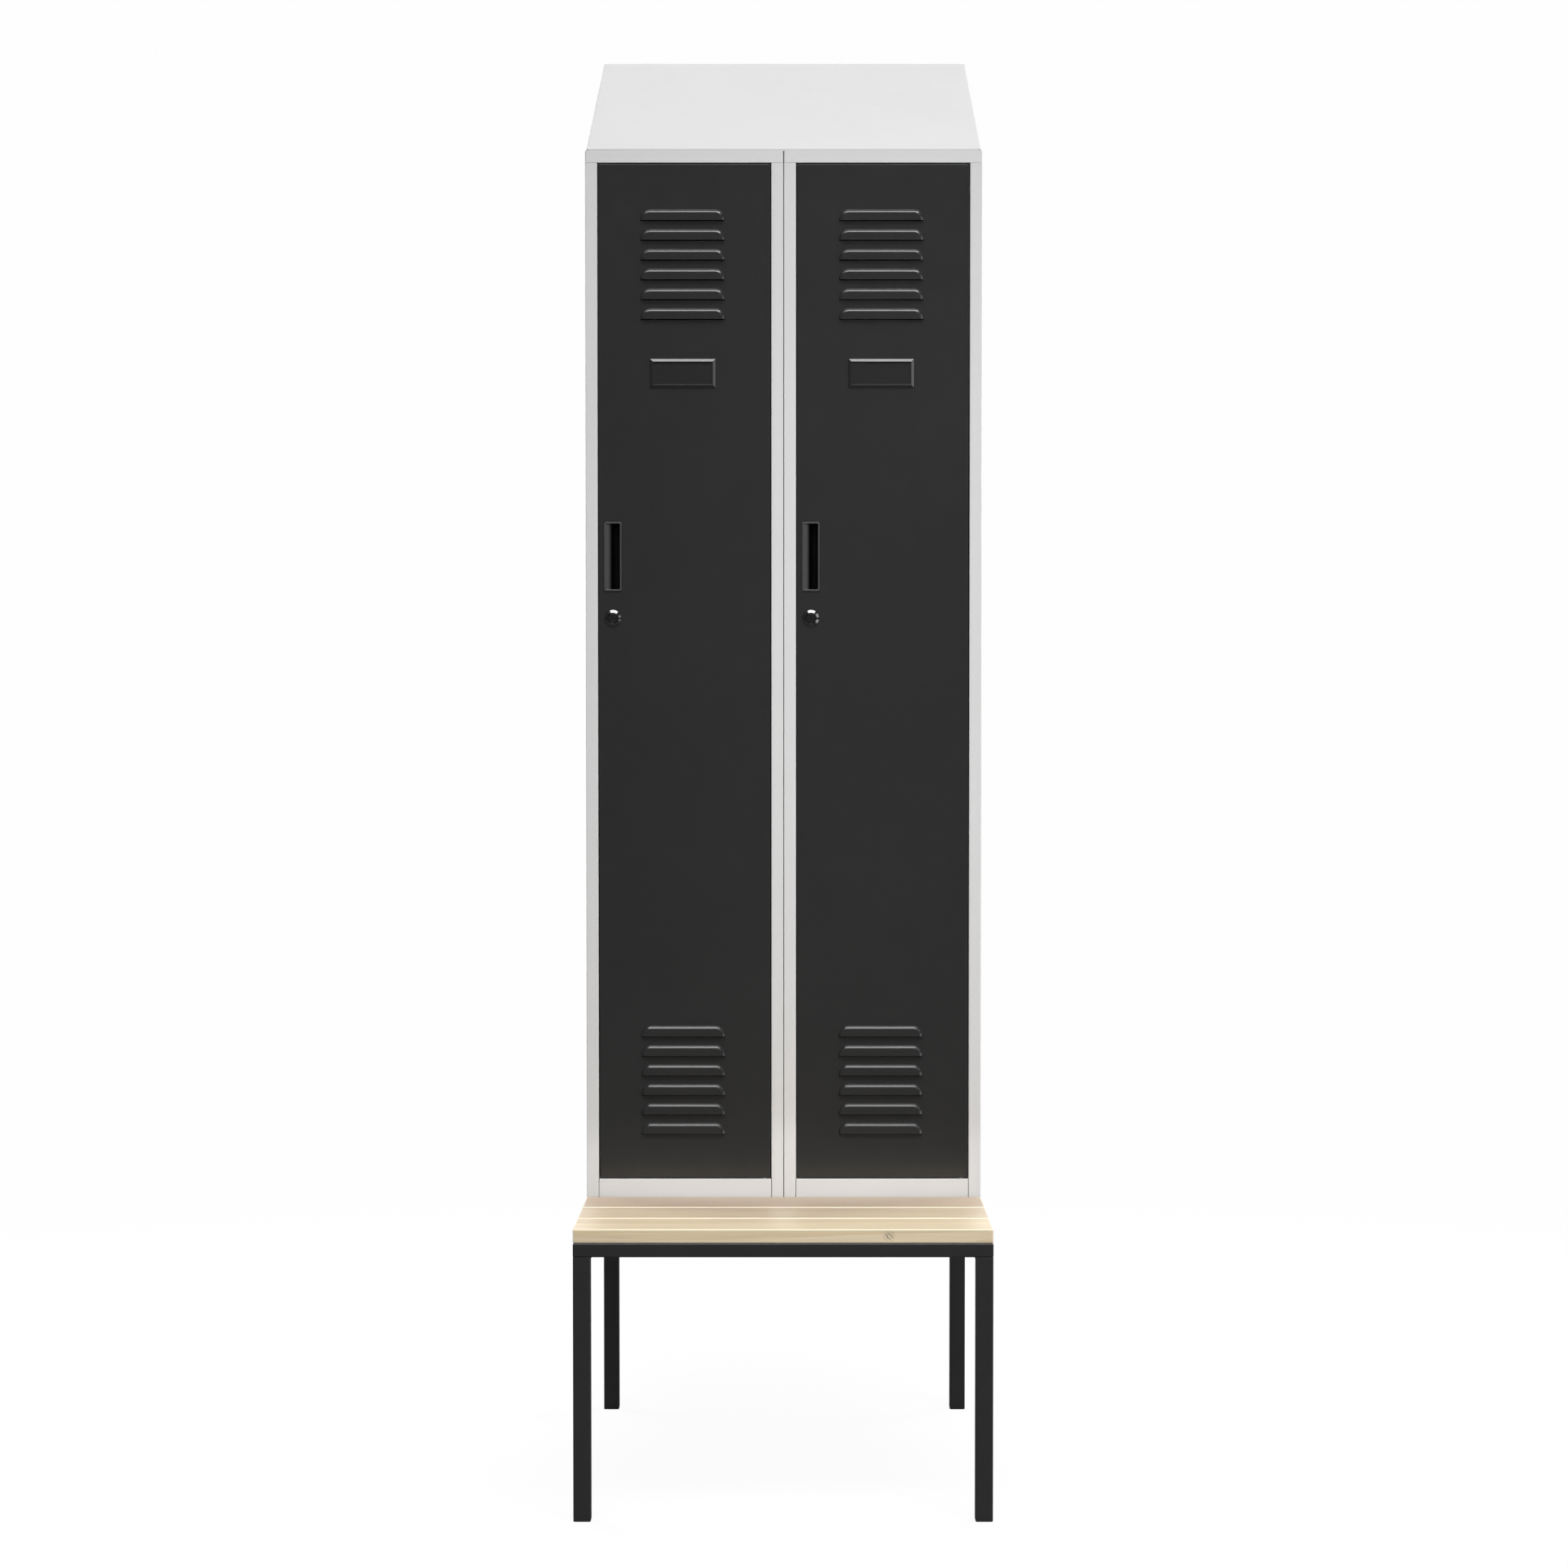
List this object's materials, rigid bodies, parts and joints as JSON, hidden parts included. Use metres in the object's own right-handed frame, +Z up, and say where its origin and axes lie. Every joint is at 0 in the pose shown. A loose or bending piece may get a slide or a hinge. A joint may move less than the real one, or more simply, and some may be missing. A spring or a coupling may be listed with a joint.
{
  "type": "locker with bench",
  "caption": "Steel clothes locker with hinged louvred doors, cam locks and a sloping roof, standing on a tube frame with a slatted wooden bench in front.",
  "frame": {"origin": "on the floor, at the middle of the whole footprint (bench and cabinet together)", "axes": "+Z up; the doors and the bench face -Y; +X to the right as seen from the front"},
  "size_m": [0.6, 0.835, 2.2301],
  "materials": {
    "cabinet_grey": "fine light-grey powder coat, low sheen",
    "door_black": "fine black-grey powder coat, satin",
    "bench_black": "black powder coat, satin",
    "slat_wood": "pale straight-grained wood, clear satin varnish",
    "handle_plastic": "black moulded plastic, satin",
    "label_black": "black, satin",
    "foot_plastic": "black moulded plastic, matt",
    "lock_black": "glossy black lacquered metal",
    "zinc_steel": "bright zinc plate"
  },
  "bodies": {
    "cabinet_and_bench": {"bench_front_rail": "bench_black", "bench_rear_rail": "bench_black", "bench_left_side_rail": "bench_black", "bench_right_side_rail": "bench_black", "bench_cross_rail": "bench_black", "bench_front_left_leg": "bench_black", "bench_front_left_foot_cap": "foot_plastic", "bench_front_right_leg": "bench_black", "bench_front_right_foot_cap": "foot_plastic", "bench_rear_left_leg": "bench_black", "bench_rear_left_foot_cap": "foot_plastic", "bench_rear_right_leg": "bench_black", "bench_rear_right_foot_cap": "foot_plastic", "bench_front_slat": "slat_wood", "bench_middle_slat": "slat_wood", "bench_rear_slat": "slat_wood", "roof_cover": "cabinet_grey", "roof_left_end": "cabinet_grey", "roof_right_end": "cabinet_grey", "roof_back": "cabinet_grey", "left_cabinet_latch_side": "cabinet_grey", "left_cabinet_hinge_side": "cabinet_grey", "left_cabinet_back": "cabinet_grey", "left_cabinet_floor": "cabinet_grey", "left_cabinet_top": "cabinet_grey", "left_hat_shelf": "cabinet_grey", "left_coat_rail": "zinc_steel", "left_coat_hook_latch_side": "zinc_steel", "left_coat_hook_hinge_side": "zinc_steel", "left_hinge_pin_lower": "zinc_steel", "left_hinge_pin_upper": "zinc_steel", "right_cabinet_latch_side": "cabinet_grey", "right_cabinet_hinge_side": "cabinet_grey", "right_cabinet_back": "cabinet_grey", "right_cabinet_floor": "cabinet_grey", "right_cabinet_top": "cabinet_grey", "right_hat_shelf": "cabinet_grey", "right_coat_rail": "zinc_steel", "right_coat_hook_latch_side": "zinc_steel", "right_coat_hook_hinge_side": "zinc_steel", "right_hinge_pin_lower": "zinc_steel", "right_hinge_pin_upper": "zinc_steel"},
    "left_door": {"left_door": "door_black", "left_door_stiffener": "door_black", "left_label_frame": "label_black", "left_handle_cup": "handle_plastic", "left_lock_housing": "lock_black", "left_lock_nut": "zinc_steel"},
    "left_lock": {"left_lock_plug": "lock_black", "left_lock_cam": "zinc_steel"},
    "right_door": {"right_door": "door_black", "right_door_stiffener": "door_black", "right_label_frame": "label_black", "right_handle_cup": "handle_plastic", "right_lock_housing": "lock_black", "right_lock_nut": "zinc_steel"},
    "right_lock": {"right_lock_plug": "lock_black", "right_lock_cam": "zinc_steel"}
  },
  "joints": [
    {"name": "left_door_hinge", "type": "hinge", "parent": "cabinet_and_bench", "child": "left_door", "pos_m": [-0.0299, -0.077, 0.4488], "axis": [0, 0, 1], "range_deg": [0, 110]},
    {"name": "left_lock_turn", "type": "hinge", "parent": "left_door", "child": "left_lock", "pos_m": [-0.2587, -0.081, 1.3], "axis": [0, 1, 0], "range_deg": [0, 90]},
    {"name": "right_door_hinge", "type": "hinge", "parent": "cabinet_and_bench", "child": "right_door", "pos_m": [0.2701, -0.077, 0.4488], "axis": [0, 0, 1], "range_deg": [0, 110]},
    {"name": "right_lock_turn", "type": "hinge", "parent": "right_door", "child": "right_lock", "pos_m": [0.0413, -0.081, 1.3], "axis": [0, 1, 0], "range_deg": [0, 90]}
  ]
}
